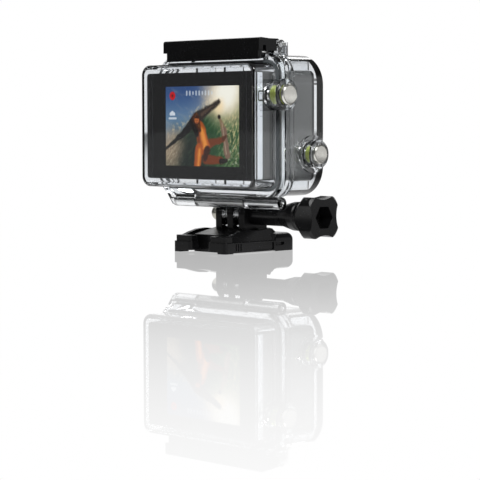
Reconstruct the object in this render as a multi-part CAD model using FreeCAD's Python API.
import FreeCAD
import Part
import math
import os

from FreeCAD import Vector

# Action camera with a rear display pack, inside a clear case with a deep rear door, on a
# quick-release buckle with a three-prong tilt joint. Millimetres.
#
# Row frame: origin on the buckle's flat underside between its squeeze arms, +X along the thumb
# screw towards its knob, +Y the way the lens looks, +Z up.
# Housing frame, for everything above the tilt joint: origin in the middle of the display's
# cover glass, same directions.

HOUSING_ORIGIN = Vector(2.5, -18.5, 48.9)

# ---- base and screw, row frame ----
SCREW_AXIS = Vector(0, 6.1, 14.35)
PRONG_R = 6.2
PRONG_T = 3.2
PRONG_PITCH = 6.4
CASE_PRONG_T = 2.8
BASE_HALF_X = 14.6
BASE_BACK_Y = -17.0
BASE_FRONT_Y = 22.3
BASE_H = 7.0
HUMP_H = 9.0
TONGUE_HALF_X = 8.6
TONGUE_BACK_Y = -11.2
ARM_ROOT_Y = 10.6
ARM_ROOT_R = 1.5
ARM_IN_X = 11.2
RAIL_H = 4.2
TAB_IN_X = 4.6
TAB_T = 4.4
SHAFT_R = 2.45
FIT = 0.05
SLEEVE_R = 4.1
SLEEVE_END_X = 23.7
FLARE_END_X = 29.5
FLARE_R = 5.5
KNOB_BACK_X = 34.6
KNOB_TURN = 1.5
KNOB_END_X = 44.5
KNOB_HALF = 7.8
KNOB_SOCKET_AF = 8.2
KNOB_SOCKET_DEPTH = 6.5
NUT_AF = 8.0
NUT_PROUD = 7.4
NUT_DOME_R = 3.2
NUT_BORE = 3.6

# ---- camera and display pack, housing frame ----
BODY_HALF_X = 29.5
BODY_HALF_Z = 20.5
BODY_R = 2.0
PACK_R = 1.2
PACK_FRONT_Y = 8.9
CAMERA_BACK_Y = 9.3
CAMERA_SEAM_Y = 29.8
CAMERA_FRONT_Y = 31.7
CASE_WALL = 1.4
LENS_X = -13.3
LENS_Z = 4.2
SCREEN_X = 1.93
SCREEN_Z = -0.09
SCREEN_W = 40.6
SCREEN_H = 30.5

# ---- clear case, housing frame ----
SHELL_HALF_X = 32.3
SHELL_HALF_Z = 27.0
SHELL_R = 11.5
FLANGE_R = 9.0
CAVITY_R = 8.5
SHELL_BACK_Y = 12.3
SHELL_FRONT_Y = 35.0
SHELL_IN_X = 30.0
SHELL_IN_Z = 24.8
SHELL_IN_FRONT_Y = 32.0
SHELL_EDGE_R = 1.0
RIB_BACK_Y = 22.0
FLANGE_HALF_X = 34.0
FLANGE_HALF_Z = 27.5
FLANGE_FRONT_Y = 17.0
PORT_HALF = 16.2
PORT_FRONT_Y = 42.0

DOOR_HALF_X = 31.5
DOOR_HALF_Z = 23.7
DOOR_R = 4.0
DOOR_BACK_Y = -2.4
DOOR_IN_X = 30.1
DOOR_IN_Z = 22.0
DOOR_GLASS_Y = -0.7
DOOR_FLANGE_HALF_X = 33.5
DOOR_FLANGE_HALF_Z = 27.3
DOOR_FLANGE_BACK_Y = 9.0
DOOR_FLANGE_FRONT_Y = 12.0
SEAL_BACK_Y = 11.0

HINGE_Y = 11.0
HINGE_Z = -29.2
HINGE_R = 2.4
HINGE_PIN_R = 1.0
HINGE_X = (-25.0, -12.4, 15.2, 33.0)
KNUCKLE_GAP = 0.15

LATCH_Y = 17.5
LATCH_Z = 30.5
LATCH_R = 2.0
LATCH_HALF_X = 26.5
LATCH_BACK_Y = 5.4
LATCH_LIP_X = (-24.5, 26.0)
LATCH_LIP_Z = 25.0
LATCH_SLOPE = math.tan(math.radians(8.5))
LATCH_PIN_R = 0.9
LATCH_PIN_X = 26.0
LATCH_ARM_X = (23.3, 24.5)
EAR_FRONT_Y = 21.0
EAR_TOP_Z = 31.6

X_AXIS = Vector(1, 0, 0)
Y_AXIS = Vector(0, 1, 0)
Z_AXIS = Vector(0, 0, 1)


def block(x, y, z):
    """A box from its (low, high) pair on each axis."""
    return Part.makeBox(x[1] - x[0], y[1] - y[0], z[1] - z[0], Vector(x[0], y[0], z[0]))


def rod(axis, centre, radius, span):
    """A cylinder along axis through centre, whose ends lie at span along that axis."""
    start = centre + axis * (span[0] - centre.dot(axis))
    return Part.makeCylinder(radius, span[1] - span[0], start, axis)


def tube(axis, centre, outer, inner, span):
    """A hollow cylinder along axis."""
    return rod(axis, centre, outer, span).cut(rod(axis, centre, inner, span))


def fuse(shapes):
    """One solid out of touching shapes."""
    whole = shapes[0]
    for shape in shapes[1:]:
        whole = whole.fuse(shape)
    return whole.removeSplitter()


def cut(shape, tools):
    """The shape with every tool taken away."""
    for tool in tools:
        shape = shape.cut(tool)
    return shape


def edges_along(shape, axis):
    """The straight edges parallel to an axis."""
    found = []
    for edge in shape.Edges:
        if isinstance(edge.Curve, Part.Line) and abs(abs(edge.Curve.Direction.dot(axis)) - 1) < 1e-6:
            found.append(edge)
    return found


def edges_at(shape, axis, place):
    """The edges that lie wholly in the plane at a place along an axis."""
    found = []
    for edge in shape.Edges:
        ends = edge.BoundBox
        low = Vector(ends.XMin, ends.YMin, ends.ZMin).dot(axis)
        high = Vector(ends.XMax, ends.YMax, ends.ZMax).dot(axis)
        if abs(low - place) < 1e-3 and abs(high - place) < 1e-3:
            found.append(edge)
    return found


def slab(half_x, half_z, radius, y, centre=(0.0, 0.0)):
    """A rounded rectangle in X and Z, drawn out along Y."""
    x = (centre[0] - half_x, centre[0] + half_x)
    z = (centre[1] - half_z, centre[1] + half_z)
    shape = block(x, y, z)
    return shape.makeFillet(radius, edges_along(shape, Y_AXIS))


def prism(points, x):
    """A closed outline of (y, z) points, drawn out along X."""
    corners = [Vector(x[0], y, z) for y, z in points]
    face = Part.Face(Part.makePolygon(corners + [corners[0]]))
    return face.extrude(X_AXIS * (x[1] - x[0]))


def spun(points, axis, centre):
    """An outline of (along, radius) points turned about an axis through centre."""
    side = Z_AXIS if axis == Y_AXIS else Y_AXIS
    corners = [centre + axis * along + side * radius for along, radius in points]
    face = Part.Face(Part.makePolygon(corners + [corners[0]]))
    return face.revolve(centre, axis, 360)


def hexagon(axis, centre, flats, span):
    """A six-sided prism along X, one flat on top."""
    corner = flats / math.sqrt(3)
    angles = [math.radians(60 * k) for k in range(6)]
    points = [(centre.y + corner * math.cos(a), centre.z + corner * math.sin(a)) for a in angles]
    return prism(points, span)


def spring(axis, centre, radius, wire, span, turns):
    """A coil spring along axis whose wire lies inside span."""
    pitch = (span[1] - span[0] - 2 * wire) / turns
    helix = Part.makeHelix(pitch, pitch * turns, radius)
    section = Part.Wire(Part.makeCircle(wire, Vector(radius, 0, 0), Y_AXIS))
    coil = Part.Wire(helix.Edges).makePipeShell([section], True, True)
    turn = FreeCAD.Rotation(Z_AXIS, axis)
    start = centre + axis * (span[0] + wire - centre.dot(axis))
    coil.Placement = FreeCAD.Placement(start, turn)
    return coil


# ---- base ----

def prong_x(index):
    """The X span of one of the base's three prongs."""
    middle = (index - 1) * PRONG_PITCH
    return (middle - PRONG_T / 2, middle + PRONG_T / 2)


def arm(side):
    """One squeeze arm: round root, beam with a wavy crest, and a finger tab that turns inwards."""
    root = Vector(side * (ARM_IN_X + ARM_ROOT_R), ARM_ROOT_Y, 0)
    outer = BASE_HALF_X
    section = [(ARM_IN_X, 0.3), (outer, 0.3), (outer, RAIL_H), (outer - 0.7, RAIL_H + 0.1),
               (outer - 1.9, 9.5), (ARM_IN_X, 9.5)]
    corners = [Vector(side * x, BASE_BACK_Y + 2, z) for x, z in section]
    beam = Part.Face(Part.makePolygon(corners + [corners[0]]))
    beam = beam.extrude(Y_AXIS * (ARM_ROOT_Y - BASE_BACK_Y - 2))
    above = [(-18, 6.5), (-13.4, 6.5), (-10.2, 7.6), (-6.6, 8.5), (-2.2, 8.8), (3.0, 8.3), (6.6, 8.7),
             (9.2, 9.2), (10.2, 6.9), (12, 6.9), (12, 12), (-18, 12)]
    crest = prism(above, sorted((0, side * 20)))
    tab_x = sorted((side * TAB_IN_X, side * outer))
    tab = block(tab_x, (BASE_BACK_Y, BASE_BACK_Y + TAB_T), (0.0, RAIL_H))
    tab = tab.makeFillet(1.5, [e for e in edges_along(tab, Z_AXIS) if e.BoundBox.YMin < BASE_BACK_Y + 1])
    upper_x = sorted((side * (TAB_IN_X + 0.6), side * (outer - 0.6)))
    upper = block(upper_x, (BASE_BACK_Y + 0.6, BASE_BACK_Y + TAB_T), (RAIL_H - 1, 6.5))
    rear_edges = [e for e in edges_along(upper, Z_AXIS) if e.BoundBox.YMin < BASE_BACK_Y + 1]
    upper = upper.makeFillet(1.2, rear_edges)
    end = rod(Z_AXIS, root, ARM_ROOT_R, (0.3, BASE_H - 0.2))
    whole = fuse([beam.cut(crest), tab, upper, end])
    recess_x = sorted((side * (outer - 0.5), side * (outer + 1)))
    recess = block(recess_x, (-1.8, 9.6), (0.9, RAIL_H - 0.4))
    grips = []
    for k in range(3):
        y = BASE_BACK_Y + 5.6 + 1.3 * k
        grips.append(block(recess_x, (y, y + 0.6), (0.9, RAIL_H - 0.4)))
    foot_x = sorted((side * (TAB_IN_X - 1), side * (outer - 4.2)))
    foot = block(foot_x, (BASE_BACK_Y - 1, BASE_BACK_Y + 9), (-1, 0.8))
    inside_x = sorted((side * (TAB_IN_X - 1), side * ARM_IN_X))
    inside = block(inside_x, (BASE_BACK_Y + TAB_T, 20), (-1, 12))
    return cut(whole, [recess, foot, inside] + grips)


def base():
    """Buckle base: nose, tongue and hump, with three prongs that carry the screw."""
    nose_y = (ARM_ROOT_Y, BASE_FRONT_Y)
    nose = block((-BASE_HALF_X, BASE_HALF_X), nose_y, (0, BASE_H))
    corners = [e for e in edges_along(nose, Z_AXIS) if e.BoundBox.YMin > BASE_FRONT_Y - 1]
    nose = nose.makeFillet(3.6, corners)
    rim = [e for e in edges_at(nose, Z_AXIS, BASE_H) if e.BoundBox.YMax > ARM_ROOT_Y + 0.1]
    nose = nose.makeFillet(2.9, rim)
    rear, front = SCREW_AXIS.y - PRONG_R, SCREW_AXIS.y + PRONG_R
    profile = [(TONGUE_BACK_Y, 0), (BASE_FRONT_Y - 5, 0), (BASE_FRONT_Y - 5, BASE_H - 0.5),
               (front + 2.4, HUMP_H - 0.5), (front, HUMP_H), (rear, HUMP_H),
               (TONGUE_BACK_Y, BASE_H - 0.2)]
    tongue = prism(profile, (-TONGUE_HALF_X, TONGUE_HALF_X))
    axis = SCREW_AXIS
    parts = [nose, tongue]
    for k in range(3):
        parts.append(rod(X_AXIS, axis, PRONG_R, prong_x(k)))
        parts.append(block(prong_x(k), (rear, front), (HUMP_H - 2, axis.z)))
    whole = fuse(parts)
    tools = [rod(X_AXIS, axis, SHAFT_R + FIT, (-20, 20))]
    for k in (0, 1):
        gap = (prong_x(k)[1], prong_x(k + 1)[0])
        tools.append(rod(X_AXIS, axis, PRONG_R + 0.4, gap))
    tools.append(hexagon(X_AXIS, axis, NUT_AF, (prong_x(0)[0] - 1, prong_x(0)[0] + 2.2)))
    for side in (-1, 1):
        root = Vector(side * (ARM_IN_X + ARM_ROOT_R), ARM_ROOT_Y, 0)
        tools.append(rod(Z_AXIS, root, ARM_ROOT_R + FIT, (-1, BASE_H + 1)))
        rail = sorted((side * (BASE_HALF_X - 0.9), side * (BASE_HALF_X + 1)))
        tools.append(block(rail, (ARM_ROOT_Y - 1, BASE_FRONT_Y - 7), (2.3, 3.6)))
    tools.append(block((-5.5, 5.5), (TONGUE_BACK_Y + 2, 15), (-1, 0.6)))
    return cut(whole, tools)


def nut():
    """Dome nut: hexagon set into the left prong, dome standing out of it."""
    axis = SCREW_AXIS
    left = prong_x(0)[0]
    head = hexagon(X_AXIS, axis, NUT_AF - 0.02, (left, left + 2.2))
    dome = rod(X_AXIS, axis, NUT_DOME_R, (left - NUT_PROUD, left))
    dome = dome.makeFillet(NUT_DOME_R - 0.2, edges_at(dome, X_AXIS, left - NUT_PROUD))
    collar = rod(X_AXIS, axis, NUT_AF / 2 - 0.1, (left - 1.6, left))
    collar = collar.makeFillet(0.5, edges_at(collar, X_AXIS, left - 1.6))
    bore = rod(X_AXIS, axis, SHAFT_R + FIT, (left - NUT_BORE, left + 3))
    return cut(fuse([head, collar, dome]), [bore])


def screw():
    """Threaded shaft, with shallow grooves where its thread shows in the nut."""
    axis = SCREW_AXIS
    left = prong_x(0)[0] - NUT_BORE + 0.4
    shaft = rod(X_AXIS, axis, SHAFT_R, (left, KNOB_END_X - KNOB_SOCKET_DEPTH - 0.5))
    shaft = shaft.makeChamfer(0.5, edges_at(shaft, X_AXIS, left))
    grooves = []
    for k in range(11):
        x = left + 0.9 + 0.8 * k
        grooves.append(tube(X_AXIS, axis, SHAFT_R + 1, SHAFT_R - 0.25, (x, x + 0.35)))
    return cut(shaft, grooves)


def knob():
    """Long sleeve that flares into a four-lobed knob with a hexagonal socket in its end."""
    axis = SCREW_AXIS
    start = prong_x(2)[1] + 0.2
    sleeve = spun([(start, 0), (start, SLEEVE_R), (SLEEVE_END_X, SLEEVE_R), (FLARE_END_X, FLARE_R),
                   (FLARE_END_X + 2.6, FLARE_R + 0.1), (FLARE_END_X + 3.0, FLARE_R - 0.35),
                   (KNOB_BACK_X + 0.5, FLARE_R - 0.2), (KNOB_BACK_X + 0.5, 0)], X_AXIS, axis)
    span = (KNOB_BACK_X, KNOB_END_X)
    head = block(span, (axis.y - KNOB_HALF, axis.y + KNOB_HALF), (axis.z - KNOB_HALF, axis.z + KNOB_HALF))
    head = head.makeFillet(3.0, edges_along(head, X_AXIS))
    waists = []
    dip = 1.0
    half_chord = 4.6
    waist_r = (half_chord ** 2 + dip ** 2) / (2 * dip)
    for k in range(4):
        a = math.radians(90 * k)
        away = KNOB_HALF - dip + waist_r
        centre = axis + Vector(0, away * math.cos(a), away * math.sin(a))
        waists.append(rod(X_AXIS, centre, waist_r, span))
    head = cut(head, waists)
    cone = spun([(span[0] - 0.1, 0), (span[0] - 0.1, FLARE_R + 0.6), (span[0] + 1.0, FLARE_R + 1.3),
                 (span[0] + 5.2, KNOB_HALF + 2.2), (span[1] - 1.0, KNOB_HALF + 2.2),
                 (span[1] + 0.1, KNOB_HALF + 0.9), (span[1] + 0.1, 0)], X_AXIS, axis)
    head = head.common(cone)
    head.rotate(axis, X_AXIS, KNOB_TURN)
    socket = hexagon(X_AXIS, axis, KNOB_SOCKET_AF, (KNOB_END_X - KNOB_SOCKET_DEPTH, KNOB_END_X + 1))
    bore = rod(X_AXIS, axis, SHAFT_R, (start - 1, KNOB_END_X - KNOB_SOCKET_DEPTH - 0.5))
    return cut(fuse([sleeve, head]), [socket, bore])


# ---- case buttons ----

class Button:
    """A case button. Distances are measured outwards along its axis from the device's surface."""

    KEY_PROUD = 0.4
    CAP_T = 1.3
    TIP = 1.35
    STEM_R = 1.2
    CLIP_R = 2.1
    CLIP_T = 0.4
    POCKET_R = 2.3

    def __init__(self, name, axis, centre, seat, floor, top, face, boss_r, cap_r, turns):
        self.name = name
        self.axis = axis
        self.centre = centre
        self.seat = seat
        self.floor = floor
        self.top = top
        self.face = face
        self.boss_r = boss_r
        self.cap_r = cap_r
        self.turns = turns

    def rod(self, radius, low, high):
        """A cylinder on the button's axis."""
        zero = self.centre.dot(self.axis)
        return rod(self.axis, self.centre, radius, (zero + low, zero + high))

    def boss(self, root):
        """The case's boss around the cap, without its bores."""
        shape = self.rod(self.boss_r, root, self.top)
        rim = edges_at(shape, self.axis, self.centre.dot(self.axis) + self.top)
        return shape.makeFillet(0.7, rim)

    def bores(self, inner):
        """What the case gives up: chamber, seal groove, stem bore and clip pocket."""
        return [self.rod(self.cap_r + 0.1, self.floor, self.top + 5),
                self.rod(2.1, self.floor - 0.9, self.floor + 0.1),
                self.rod(self.STEM_R + FIT, inner - 1, self.floor),
                self.rod(self.POCKET_R, inner - 1, self.seat)]

    def plunger(self):
        """Metal cap and stem in one piece, grooved for its clip."""
        cap = self.rod(self.cap_r, self.face - self.CAP_T, self.face)
        zero = self.centre.dot(self.axis)
        cap = cap.makeFillet(0.8, edges_at(cap, self.axis, zero + self.face))
        stem = self.rod(self.STEM_R, self.TIP, self.face - 1)
        clip_top = self.seat - 0.03
        groove = self.rod(3, clip_top - self.CLIP_T, clip_top)
        groove = groove.cut(self.rod(0.85, clip_top - 1, clip_top + 1))
        return cut(fuse([cap, stem]), [groove])

    def clip(self):
        """Retaining clip: an open ring snapped into the stem's groove."""
        top = self.seat - 0.03
        ring = self.rod(self.CLIP_R, top - self.CLIP_T, top).cut(self.rod(0.85, top - 1, top + 1))
        reach = Vector(0, 0, 1) if self.axis != Z_AXIS else Vector(1, 0, 0)
        gap = Part.makeBox(3, 3, 3, Vector(-1.5, -1.5, -1.5))
        gap.translate(self.centre + self.axis * (top - self.CLIP_T / 2) + reach * 1.9)
        slot = gap.common(self.rod(3, top - 1, top + 1))
        return ring.cut(slot)

    def seal(self):
        """O-ring around the stem."""
        middle = self.centre + self.axis * (self.floor - 0.45)
        return Part.makeTorus(1.68, 0.42, middle, self.axis)

    def spring(self):
        """Coil spring between the chamber's floor and the cap."""
        zero = self.centre.dot(self.axis)
        span = (zero + self.floor + 0.02, zero + self.face - self.CAP_T - 0.02)
        return spring(self.axis, self.centre, self.cap_r - 0.75, 0.3, span, self.turns)

    def key(self):
        """The device's own key, standing proud of its case."""
        return self.rod(self.STEM_R, -1.6, self.KEY_PROUD)

    def key_hole(self):
        """The hole in the device's case for its key."""
        return self.rod(self.STEM_R + 0.1, -2.0, 1.0)


SIDE_BUTTON = Button("side", X_AXIS, Vector(BODY_HALF_X, 28.0, -10.8), seat=1.88, floor=3.0, top=6.9,
                     face=7.9, boss_r=5.5, cap_r=3.75, turns=3)
DOOR_BUTTON = Button("door", X_AXIS, Vector(BODY_HALF_X, 8.6, 11.6), seat=1.88, floor=3.6, top=8.6,
                     face=10.3, boss_r=6.0, cap_r=4.0, turns=5)
SHUTTER_BUTTON = Button("shutter", Z_AXIS, Vector(20.0, 22.0, BODY_HALF_Z), seat=4.3, floor=6.9, top=10.1,
                        face=11.1, boss_r=3.9, cap_r=3.1, turns=3)
MODE_BUTTON = Button("mode", Y_AXIS, Vector(19.0, CAMERA_FRONT_Y, -12.0), seat=1.88, floor=4.1, top=6.6,
                     face=7.4, boss_r=4.9, cap_r=3.3, turns=2)
SHELL_BUTTONS = (SIDE_BUTTON, SHUTTER_BUTTON, MODE_BUTTON)


# ---- clear case ----

def knuckle(index, gap_low, gap_high):
    """One of the three hinge knuckles, shortened by a running gap at each end."""
    span = (HINGE_X[index] + gap_low, HINGE_X[index + 1] - gap_high)
    return rod(X_AXIS, Vector(0, HINGE_Y, HINGE_Z), HINGE_R, span), span


def shell():
    """Front shell: box open to the rear, flange, lens port, bosses, latch ears, knuckle and prongs."""
    body = slab(SHELL_HALF_X, SHELL_HALF_Z, SHELL_R, (SHELL_BACK_Y, SHELL_FRONT_Y))
    body = body.makeFillet(SHELL_EDGE_R, edges_at(body, Y_AXIS, SHELL_FRONT_Y))
    flange = slab(FLANGE_HALF_X, FLANGE_HALF_Z, FLANGE_R, (SHELL_BACK_Y, FLANGE_FRONT_Y))
    flange = flange.makeFillet(0.6, edges_at(flange, Y_AXIS, FLANGE_FRONT_Y))
    port = slab(PORT_HALF, PORT_HALF, 4.5, (SHELL_FRONT_Y - 2, PORT_FRONT_Y), (LENS_X, LENS_Z))
    parts = [body, flange, port]
    for button in SHELL_BUTTONS:
        parts.append(button.boss(button.seat + 0.1))
    collar = SIDE_BUTTON.rod(7.15, 1.5, 3.8).cut(SIDE_BUTTON.rod(6.3, 2.9, 5))
    parts.append(collar)
    for side in (-1, 1):
        x = sorted((side * (LATCH_ARM_X[1] + 0.2), side * LATCH_HALF_X))
        parts.append(rod(X_AXIS, Vector(0, LATCH_Y, LATCH_Z), LATCH_R, x))
        parts.append(block(x, (LATCH_Y - LATCH_R, LATCH_Y + LATCH_R), (SHELL_HALF_Z - 1, LATCH_Z)))
        for rib_x in (x[0], x[1] - 0.6):
            rib_y = (LATCH_Y + 1, EAR_FRONT_Y)
            parts.append(block((rib_x, rib_x + 0.6), rib_y, (SHELL_HALF_Z - 1, EAR_TOP_Z)))
    barrel, span = knuckle(1, KNUCKLE_GAP, KNUCKLE_GAP)
    parts.append(barrel)
    parts.append(block(span, (HINGE_Y + 1.3, FLANGE_FRONT_Y - 0.4), (HINGE_Z - 0.6, -FLANGE_HALF_Z + 0.5)))
    axis = SCREW_AXIS - HOUSING_ORIGIN
    for side in (-1, 1):
        middle = axis.x + side * PRONG_PITCH / 2
        x = (middle - CASE_PRONG_T / 2, middle + CASE_PRONG_T / 2)
        parts.append(rod(X_AXIS, axis, PRONG_R, x))
        parts.append(block(x, (axis.y - 5.4, axis.y + PRONG_R), (axis.z, -SHELL_HALF_Z + 0.5)))
    parts.append(block((axis.x - 8.0, axis.x + 8.0), (axis.y - 7.0, axis.y + 8.0),
                       (-SHELL_HALF_Z - 0.55, -SHELL_HALF_Z + 0.5)))
    whole = fuse(parts)

    cavity = slab(SHELL_IN_X, SHELL_IN_Z, CAVITY_R, (SHELL_BACK_Y + 1.5, SHELL_IN_FRONT_Y))
    mouth = slab(SHELL_IN_X, DOOR_IN_Z + 0.3, 4.0, (SHELL_BACK_Y - 1, SHELL_BACK_Y + 2))
    seat = slab(13.4, 13.4, 3.0, (PORT_FRONT_Y - 2.8, PORT_FRONT_Y + 1), (LENS_X, LENS_Z))
    bore = slab(12.0, 12.0, 3.0, (SHELL_IN_FRONT_Y - 1, PORT_FRONT_Y), (LENS_X, LENS_Z))
    tools = [cavity, mouth, seat, bore]
    for button in SHELL_BUTTONS:
        inner = SHELL_IN_Z - BODY_HALF_Z if button is SHUTTER_BUTTON else 0.4
        tools += button.bores(inner)
    tools.append(rod(X_AXIS, Vector(0, LATCH_Y, LATCH_Z), LATCH_PIN_R + FIT, (-LATCH_PIN_X, LATCH_PIN_X)))
    tools.append(rod(X_AXIS, axis, SHAFT_R + FIT, (-40, 40)))
    tools.append(rod(X_AXIS, Vector(0, HINGE_Y, HINGE_Z), HINGE_PIN_R, (-40, 40)))
    for index in (0, 2):
        barrel_x = (HINGE_X[index] - 1, HINGE_X[index + 1])
        tools.append(rod(X_AXIS, Vector(0, HINGE_Y, HINGE_Z), HINGE_R + 0.3, barrel_x))
    tools.append(rod(X_AXIS, DOOR_BUTTON.centre, DOOR_BUTTON.boss_r + 0.3, (31.2, 40)))
    rib_groove = slab(40, 40, FLANGE_R, (14.2, 15.0)).cut(
        slab(FLANGE_HALF_X - 0.8, FLANGE_HALF_Z - 0.8, FLANGE_R - 0.8, (14.0, 15.2)))
    kept = block((-24, 28), (14, 15.5), (-40, -20))
    tools.append(rib_groove.cut(kept))
    tools += window_screw_holes(0.62, (PORT_FRONT_Y - 6.0, PORT_FRONT_Y + 1))
    whole = cut(whole, tools)

    ribs = []
    for x in (-24.0, -8.0, 8.0, 25.5):
        for side in (-1, 1):
            z = sorted((side * (BODY_HALF_Z + 0.25), side * (SHELL_IN_Z + 0.4)))
            ribs.append(block((x - 0.6, x + 0.6), (RIB_BACK_Y, SHELL_IN_FRONT_Y + 0.3), z))
    return fuse([whole] + ribs)


def window_screw_places():
    """Corners of the lens port's screw square."""
    reach = 14.3
    return [Vector(LENS_X + i * reach, 0, LENS_Z + j * reach) for i in (-1, 1) for j in (-1, 1)]


def window_screw_holes(radius, y):
    """Bores for the four window screws."""
    return [rod(Y_AXIS, place, radius, y) for place in window_screw_places()]


def lens_port():
    """Flat window, its seal, the frame that clamps it and the frame's four screws."""
    centre = (LENS_X, LENS_Z)
    seat = PORT_FRONT_Y - 2.8
    window = slab(13.3, 13.3, 2.9, (seat + 0.7, PORT_FRONT_Y), centre)
    seal = slab(13.3, 13.3, 2.9, (seat, seat + 0.7), centre)
    seal = seal.cut(slab(12.1, 12.1, 2.9, (seat - 1, seat + 1), centre))
    frame = slab(PORT_HALF, PORT_HALF, 4.5, (PORT_FRONT_Y, PORT_FRONT_Y + 1.6), centre)
    frame = frame.makeFillet(0.5, edges_at(frame, Y_AXIS, PORT_FRONT_Y + 1.6))
    frame = frame.cut(slab(12.3, 12.3, 2.9, (PORT_FRONT_Y - 1, PORT_FRONT_Y + 3), centre))
    top = PORT_FRONT_Y + 1.6
    frame = cut(frame, window_screw_holes(0.62, (PORT_FRONT_Y - 1, top)))
    frame = cut(frame, window_screw_holes(1.12, (top - 0.8, top + 1)))
    screws = []
    for place in window_screw_places():
        head = rod(Y_AXIS, place, 1.1, (top - 0.8, top - 0.05))
        slot = hexagon_along_y(place, 1.0, (top - 0.5, top + 1))
        shank = rod(Y_AXIS, place, 0.6, (PORT_FRONT_Y - 5.8, top - 0.5))
        screws.append(fuse([head, shank]).cut(slot))
    return {"lens_window": window, "lens_window_seal": seal, "lens_window_frame": frame,
            "lens_window_screws": Part.Compound(screws)}


def hexagon_along_y(centre, flats, y):
    """A small hexagonal key socket along Y."""
    corner = flats / math.sqrt(3)
    points = []
    for k in range(6):
        a = math.radians(60 * k)
        points.append(Vector(centre.x + corner * math.cos(a), y[0], centre.z + corner * math.sin(a)))
    return Part.Face(Part.makePolygon(points + [points[0]])).extrude(Y_AXIS * (y[1] - y[0]))


def ramp_z(y):
    """Height of the latch lip's sloping underside."""
    return LATCH_LIP_Z + (y - LATCH_BACK_Y) * LATCH_SLOPE


def door():
    """Rear door: deep clear box on a flange, with its outer hinge knuckles and a button boss."""
    box = slab(DOOR_HALF_X, DOOR_HALF_Z, DOOR_R, (DOOR_BACK_Y, DOOR_FLANGE_FRONT_Y))
    box = box.makeFillet(1.5, edges_at(box, Y_AXIS, DOOR_BACK_Y))
    flange_y = (DOOR_FLANGE_BACK_Y, DOOR_FLANGE_FRONT_Y)
    flange = slab(DOOR_FLANGE_HALF_X, DOOR_FLANGE_HALF_Z, FLANGE_R - 0.5, flange_y)
    flange = flange.makeFillet(0.6, edges_at(flange, Y_AXIS, DOOR_FLANGE_BACK_Y))
    parts = [box, flange, DOOR_BUTTON.boss(1.95)]
    for index, gaps in ((0, (0, KNUCKLE_GAP)), (2, (KNUCKLE_GAP, 0))):
        barrel, span = knuckle(index, *gaps)
        parts.append(barrel)
        parts.append(block(span, (DOOR_FLANGE_BACK_Y - 0.2, HINGE_Y), (HINGE_Z, -DOOR_FLANGE_HALF_Z + 0.6)))
    slant = [(HINGE_X[0] + 0.5, HINGE_Z - 1.6), (HINGE_X[0] + 0.5, -26.2), (HINGE_X[0] - 3.6, -26.2),
             (HINGE_X[0] - 3.2, -27.2), (HINGE_X[0] - 0.4, HINGE_Z - 1.6)]
    corners = [Vector(x, DOOR_FLANGE_BACK_Y, z) for x, z in slant]
    parts.append(Part.Face(Part.makePolygon(corners + [corners[0]])).extrude(Y_AXIS * 3.0))
    whole = fuse(parts)
    inside = slab(DOOR_IN_X, DOOR_IN_Z, DOOR_R - 1.6, (DOOR_GLASS_Y, DOOR_FLANGE_FRONT_Y + 1))
    notch_x = (LATCH_LIP_X[0] - 0.4, LATCH_LIP_X[1] + 0.4)
    low = DOOR_FLANGE_BACK_Y - 1
    high = DOOR_FLANGE_FRONT_Y + 1
    gap = 0.15
    notch = prism([(low, ramp_z(low) - gap), (high, ramp_z(high) - gap), (high, 40), (low, 40)], notch_x)
    middle_x = (HINGE_X[1], HINGE_X[2])
    middle = rod(X_AXIS, Vector(0, HINGE_Y, HINGE_Z), HINGE_R + 0.3, middle_x)
    pin_bore = rod(X_AXIS, Vector(0, HINGE_Y, HINGE_Z), HINGE_PIN_R + FIT, (-40, 40))
    tools = [inside, notch, middle, pin_bore, seal_ring(0.0, SEAL_BACK_Y, DOOR_FLANGE_FRONT_Y + 1)]
    tools += DOOR_BUTTON.bores(0.3)
    return cut(whole, tools)


def seal_ring(margin, y_low, y_high):
    """The rounded rectangular ring that the door's seal fills, shrunk by a margin."""
    outer = slab(32.2 - margin, 24.8 - margin, 5.6 - margin, (y_low, y_high))
    inner = slab(30.6 + margin, 23.2 + margin, 4.0 + margin, (y_low - 1, y_high + 1))
    return outer.cut(inner)


def latch():
    """Latch lever: rear plate whose lip wedges the door shut, top block and two pivot arms."""
    upper_x = (-LATCH_HALF_X, LATCH_HALF_X)
    upper = prism([(LATCH_BACK_Y, 28.4), (7.6, 28.4), (7.6, 30.2), (9.2, 30.2), (9.2, 28.2),
                   (15.1, 28.2), (15.1, 31.0), (14.6, 32.2), (13.4, 32.7), (6.6, 33.2), (5.8, 33.0),
                   (LATCH_BACK_Y, 32.4)], upper_x)
    front = 11.4
    lip = prism([(LATCH_BACK_Y, LATCH_LIP_Z), (front, ramp_z(front)), (front, 27.6), (7.6, 27.6),
                 (7.6, 28.6), (LATCH_BACK_Y, 28.6)], LATCH_LIP_X)
    parts = [upper, lip]
    cheek = [(9.2, 28.2), (14.0, 27.6), (18.0, 27.9), (18.9, 28.7), (19.3, 29.9), (19.3, 31.2),
             (18.7, 32.4), (17.6, 33.0), (13.4, 33.0), (9.2, 32.9)]
    for side in (-1, 1):
        parts.append(prism(cheek, sorted(side * x for x in LATCH_ARM_X)))
    whole = fuse(parts)
    grip = []
    for k in range(5):
        y = 9.0 + 1.1 * k
        grip.append(block((-9, 9), (y, y + 0.5), (32.35, 34)))
    pin_bore = rod(X_AXIS, Vector(0, LATCH_Y, LATCH_Z), LATCH_PIN_R, (-LATCH_PIN_X, LATCH_PIN_X))
    return cut(whole, [pin_bore] + grip)


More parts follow.
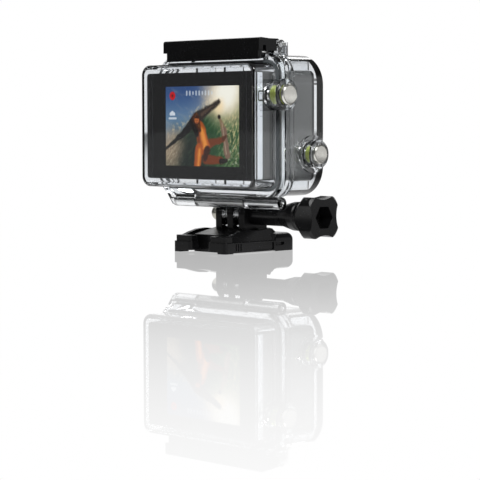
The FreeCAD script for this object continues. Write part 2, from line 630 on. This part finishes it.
def latch_pins():
    """Two short pivot pins, pressed into the latch's arms and turning in the shell's ears."""
    pins = []
    for side in (-1, 1):
        x = sorted((side * (LATCH_ARM_X[0] + 0.1), side * (LATCH_PIN_X - 0.1)))
        pins.append(rod(X_AXIS, Vector(0, LATCH_Y, LATCH_Z), LATCH_PIN_R, x))
    return Part.Compound(pins)


# ---- camera ----

def camera_cases():
    """The camera's grey rear case and black front case."""
    rear = slab(BODY_HALF_X, BODY_HALF_Z, BODY_R, (CAMERA_BACK_Y, CAMERA_SEAM_Y))
    rear = rear.makeFillet(0.8, edges_at(rear, Y_AXIS, CAMERA_BACK_Y))
    cavity = slab(BODY_HALF_X - CASE_WALL, BODY_HALF_Z - CASE_WALL, BODY_R - 1.0,
                  (CAMERA_BACK_Y + CASE_WALL, CAMERA_SEAM_Y + 1))
    plug = block((-25.1, -16.9), (CAMERA_BACK_Y - 1, CAMERA_BACK_Y + 3), (-4.6, 4.6))
    port_recess = block((-BODY_HALF_X - 1, -BODY_HALF_X + 0.8), (13.9, 26.1), (-12.1, 10.1))
    port_hole = block((-BODY_HALF_X - 1, -BODY_HALF_X + 2), (15.5, 24.5), (-10, 8))
    battery_hole = block((-17.1, 25.1), (10.8, 18.1), (-BODY_HALF_Z - 1, -BODY_HALF_Z + 3))
    rear = cut(rear, [cavity, plug, port_recess, port_hole, battery_hole])
    rear = cut(rear, [SIDE_BUTTON.key_hole(), SHUTTER_BUTTON.key_hole()])
    front = slab(BODY_HALF_X, BODY_HALF_Z, BODY_R, (CAMERA_SEAM_Y, CAMERA_FRONT_Y))
    front = front.makeFillet(1.0, edges_at(front, Y_AXIS, CAMERA_FRONT_Y))
    hollow = slab(BODY_HALF_X - CASE_WALL, BODY_HALF_Z - CASE_WALL, BODY_R - 1.0,
                  (CAMERA_SEAM_Y - 1, CAMERA_FRONT_Y - CASE_WALL))
    lens_hole = rod(Y_AXIS, Vector(LENS_X, 0, LENS_Z), 10.5, (20, 40))
    window_hole = slab(7.6, 5.6, 1.2, (20, 40), (19.0, 8.6))
    front = cut(front, [hollow, lens_hole, window_hole, MODE_BUTTON.key_hole()])
    return rear, front


def lens():
    """Barrel, trim ring, domed front lens and the glass elements behind it."""
    centre = Vector(LENS_X, 0, LENS_Z)
    barrel = spun([(21.4, 6.6), (21.4, 8.0), (30.0, 8.0), (30.0, 10.4), (37.8, 10.4), (37.8, 8.6),
                   (35.6, 7.2), (35.6, 6.6)], Y_AXIS, centre)
    ring = spun([(37.8, 7.6), (37.8, 10.0), (38.9, 10.0), (39.4, 9.4), (39.4, 8.2), (38.4, 7.6)],
                Y_AXIS, centre)
    dome_r = 9.0
    dome = Part.makeSphere(dome_r, Vector(LENS_X, 39.1 - dome_r, LENS_Z))
    front = dome.common(rod(Y_AXIS, centre, 7.1, (35.7, 41)))
    elements = []
    for y, thick, radius in ((22.6, 1.6, 5.0), (26.2, 2.4, 5.8), (30.6, 2.2, 6.4)):
        elements.append(spun([(y, 0), (y + thick * 0.2, radius), (y + thick * 0.8, radius), (y + thick, 0)],
                             Y_AXIS, centre))
        elements[-1] = elements[-1].fuse(tube(Y_AXIS, centre, 6.55, radius - 0.3,
                                              (y + thick * 0.3, y + thick * 0.7)))
    return {"lens_barrel": barrel, "lens_trim_ring": ring, "front_lens": front,
            "lens_elements": Part.Compound(elements)}


def camera_inside():
    """Boards, sensor, battery, card, covers and the front status display."""
    board = block((-26, 26), (18.3, 19.5), (-17.5, 17.5))
    sensor = block((LENS_X - 6, LENS_X + 6), (19.5, 21.2), (LENS_Z - 6, LENS_Z + 6))
    battery = slab(20.4, 15.5, 2.0, (11.2, 17.0), (4.0, -3.0))
    card = block((10, 21), (17.3, 18.1), (-14, 1))
    port_cover = block((-BODY_HALF_X, -BODY_HALF_X + 0.8), (14, 26), (-12, 10))
    port_cover = port_cover.makeFillet(0.3, edges_at(port_cover, X_AXIS, -BODY_HALF_X))
    battery_cover = block((-17, 25), (10.9, 18), (-BODY_HALF_Z, -BODY_HALF_Z + 1.3))
    window = slab(7.5, 5.5, 1.1, (CAMERA_FRONT_Y - 1.4, CAMERA_FRONT_Y + 0.1), (19.0, 8.6))
    display = block((12.6, 25.4), (29.4, CAMERA_FRONT_Y - 1.5), (4.0, 13.2))
    return {"main_board": board, "image_sensor": sensor, "battery": battery, "memory_card": card,
            "port_cover": port_cover, "battery_cover": battery_cover, "status_window": window,
            "status_display": display}


def pack():
    """Display pack on the camera's back."""
    glass_t = 0.9
    outer = slab(BODY_HALF_X, BODY_HALF_Z, PACK_R, (glass_t, PACK_FRONT_Y))
    outer = outer.makeFillet(0.6, edges_at(outer, Y_AXIS, PACK_FRONT_Y))
    inner = slab(BODY_HALF_X - 1.3, BODY_HALF_Z - 1.3, PACK_R - 0.4, (0, PACK_FRONT_Y - 1.2))
    plug_hole = block((-25.1, -16.9), (5, 10), (-4.6, 4.6))
    key_z = (DOOR_BUTTON.centre.z - 2.4, DOOR_BUTTON.centre.z + 2.4)
    key = block((BODY_HALF_X - 1.5, BODY_HALF_X + Button.KEY_PROUD), (6.1, 7.6), key_z)
    hole = block((BODY_HALF_X - 2.2, BODY_HALF_X + 1), (6.0, 7.7), (key_z[0] - 0.1, key_z[1] + 0.1))
    case = cut(outer, [inner, plug_hole, hole])
    glass = slab(BODY_HALF_X - 0.1, BODY_HALF_Z - 0.1, PACK_R, (0, glass_t))
    glass = glass.makeFillet(0.3, edges_at(glass, Y_AXIS, 0))
    panel = slab(SCREEN_W / 2 + 1.5, SCREEN_H / 2 + 1.5, 0.6, (glass_t, 2.6), (SCREEN_X, SCREEN_Z))
    board = block((-26, 26), (3.4, 4.4), (-17, 17))
    plug = block((-25, -17), (4.4, 11.4), (-4.5, 4.5))
    return {"pack_case": case, "pack_glass": glass, "lcd_panel": panel, "pack_board": board,
            "pack_connector": plug, "pack_key": key}


def housing():
    """Every node above the tilt joint, in the housing frame."""
    rear, front = camera_cases()
    hinge_pin = rod(X_AXIS, Vector(0, HINGE_Y, HINGE_Z), HINGE_PIN_R, (HINGE_X[0], HINGE_X[3] - 0.6))
    nodes = {"front_shell": shell(), "rear_door": door(), "door_seal": seal_ring(FIT, SEAL_BACK_Y, 12.2),
             "latch_lever": latch(), "latch_pins": latch_pins(), "door_hinge_pin": hinge_pin,
             "camera_rear_case": rear, "camera_front_case": front}
    nodes.update(lens_port())
    nodes.update(lens())
    nodes.update(camera_inside())
    nodes.update(pack())
    for button in SHELL_BUTTONS + (DOOR_BUTTON,):
        nodes[button.name + "_button"] = button.plunger()
        nodes[button.name + "_button_spring"] = button.spring()
        nodes[button.name + "_button_clip"] = button.clip()
    for button in SHELL_BUTTONS:
        nodes[button.name + "_key"] = button.key()
    nodes["shell_button_seals"] = Part.Compound([button.seal() for button in SHELL_BUTTONS])
    nodes["door_button_seal"] = DOOR_BUTTON.seal()
    for shape in nodes.values():
        shape.translate(HOUSING_ORIGIN)
    return nodes


def main():
    """Builds every node and writes one STEP file for each."""
    nodes = {"buckle_base": base(), "buckle_nut": nut(), "buckle_arm_left": arm(-1),
             "buckle_arm_right": arm(1), "screw_shaft": screw(), "thumb_knob": knob()}
    nodes.update(housing())
    os.makedirs("parts", exist_ok=True)
    for name, shape in nodes.items():
        shape.exportStep("parts/" + name + ".step")
        print(name, len(shape.Solids), round(shape.Volume, 2), shape.isValid())
    print(len(nodes), "nodes")


main()
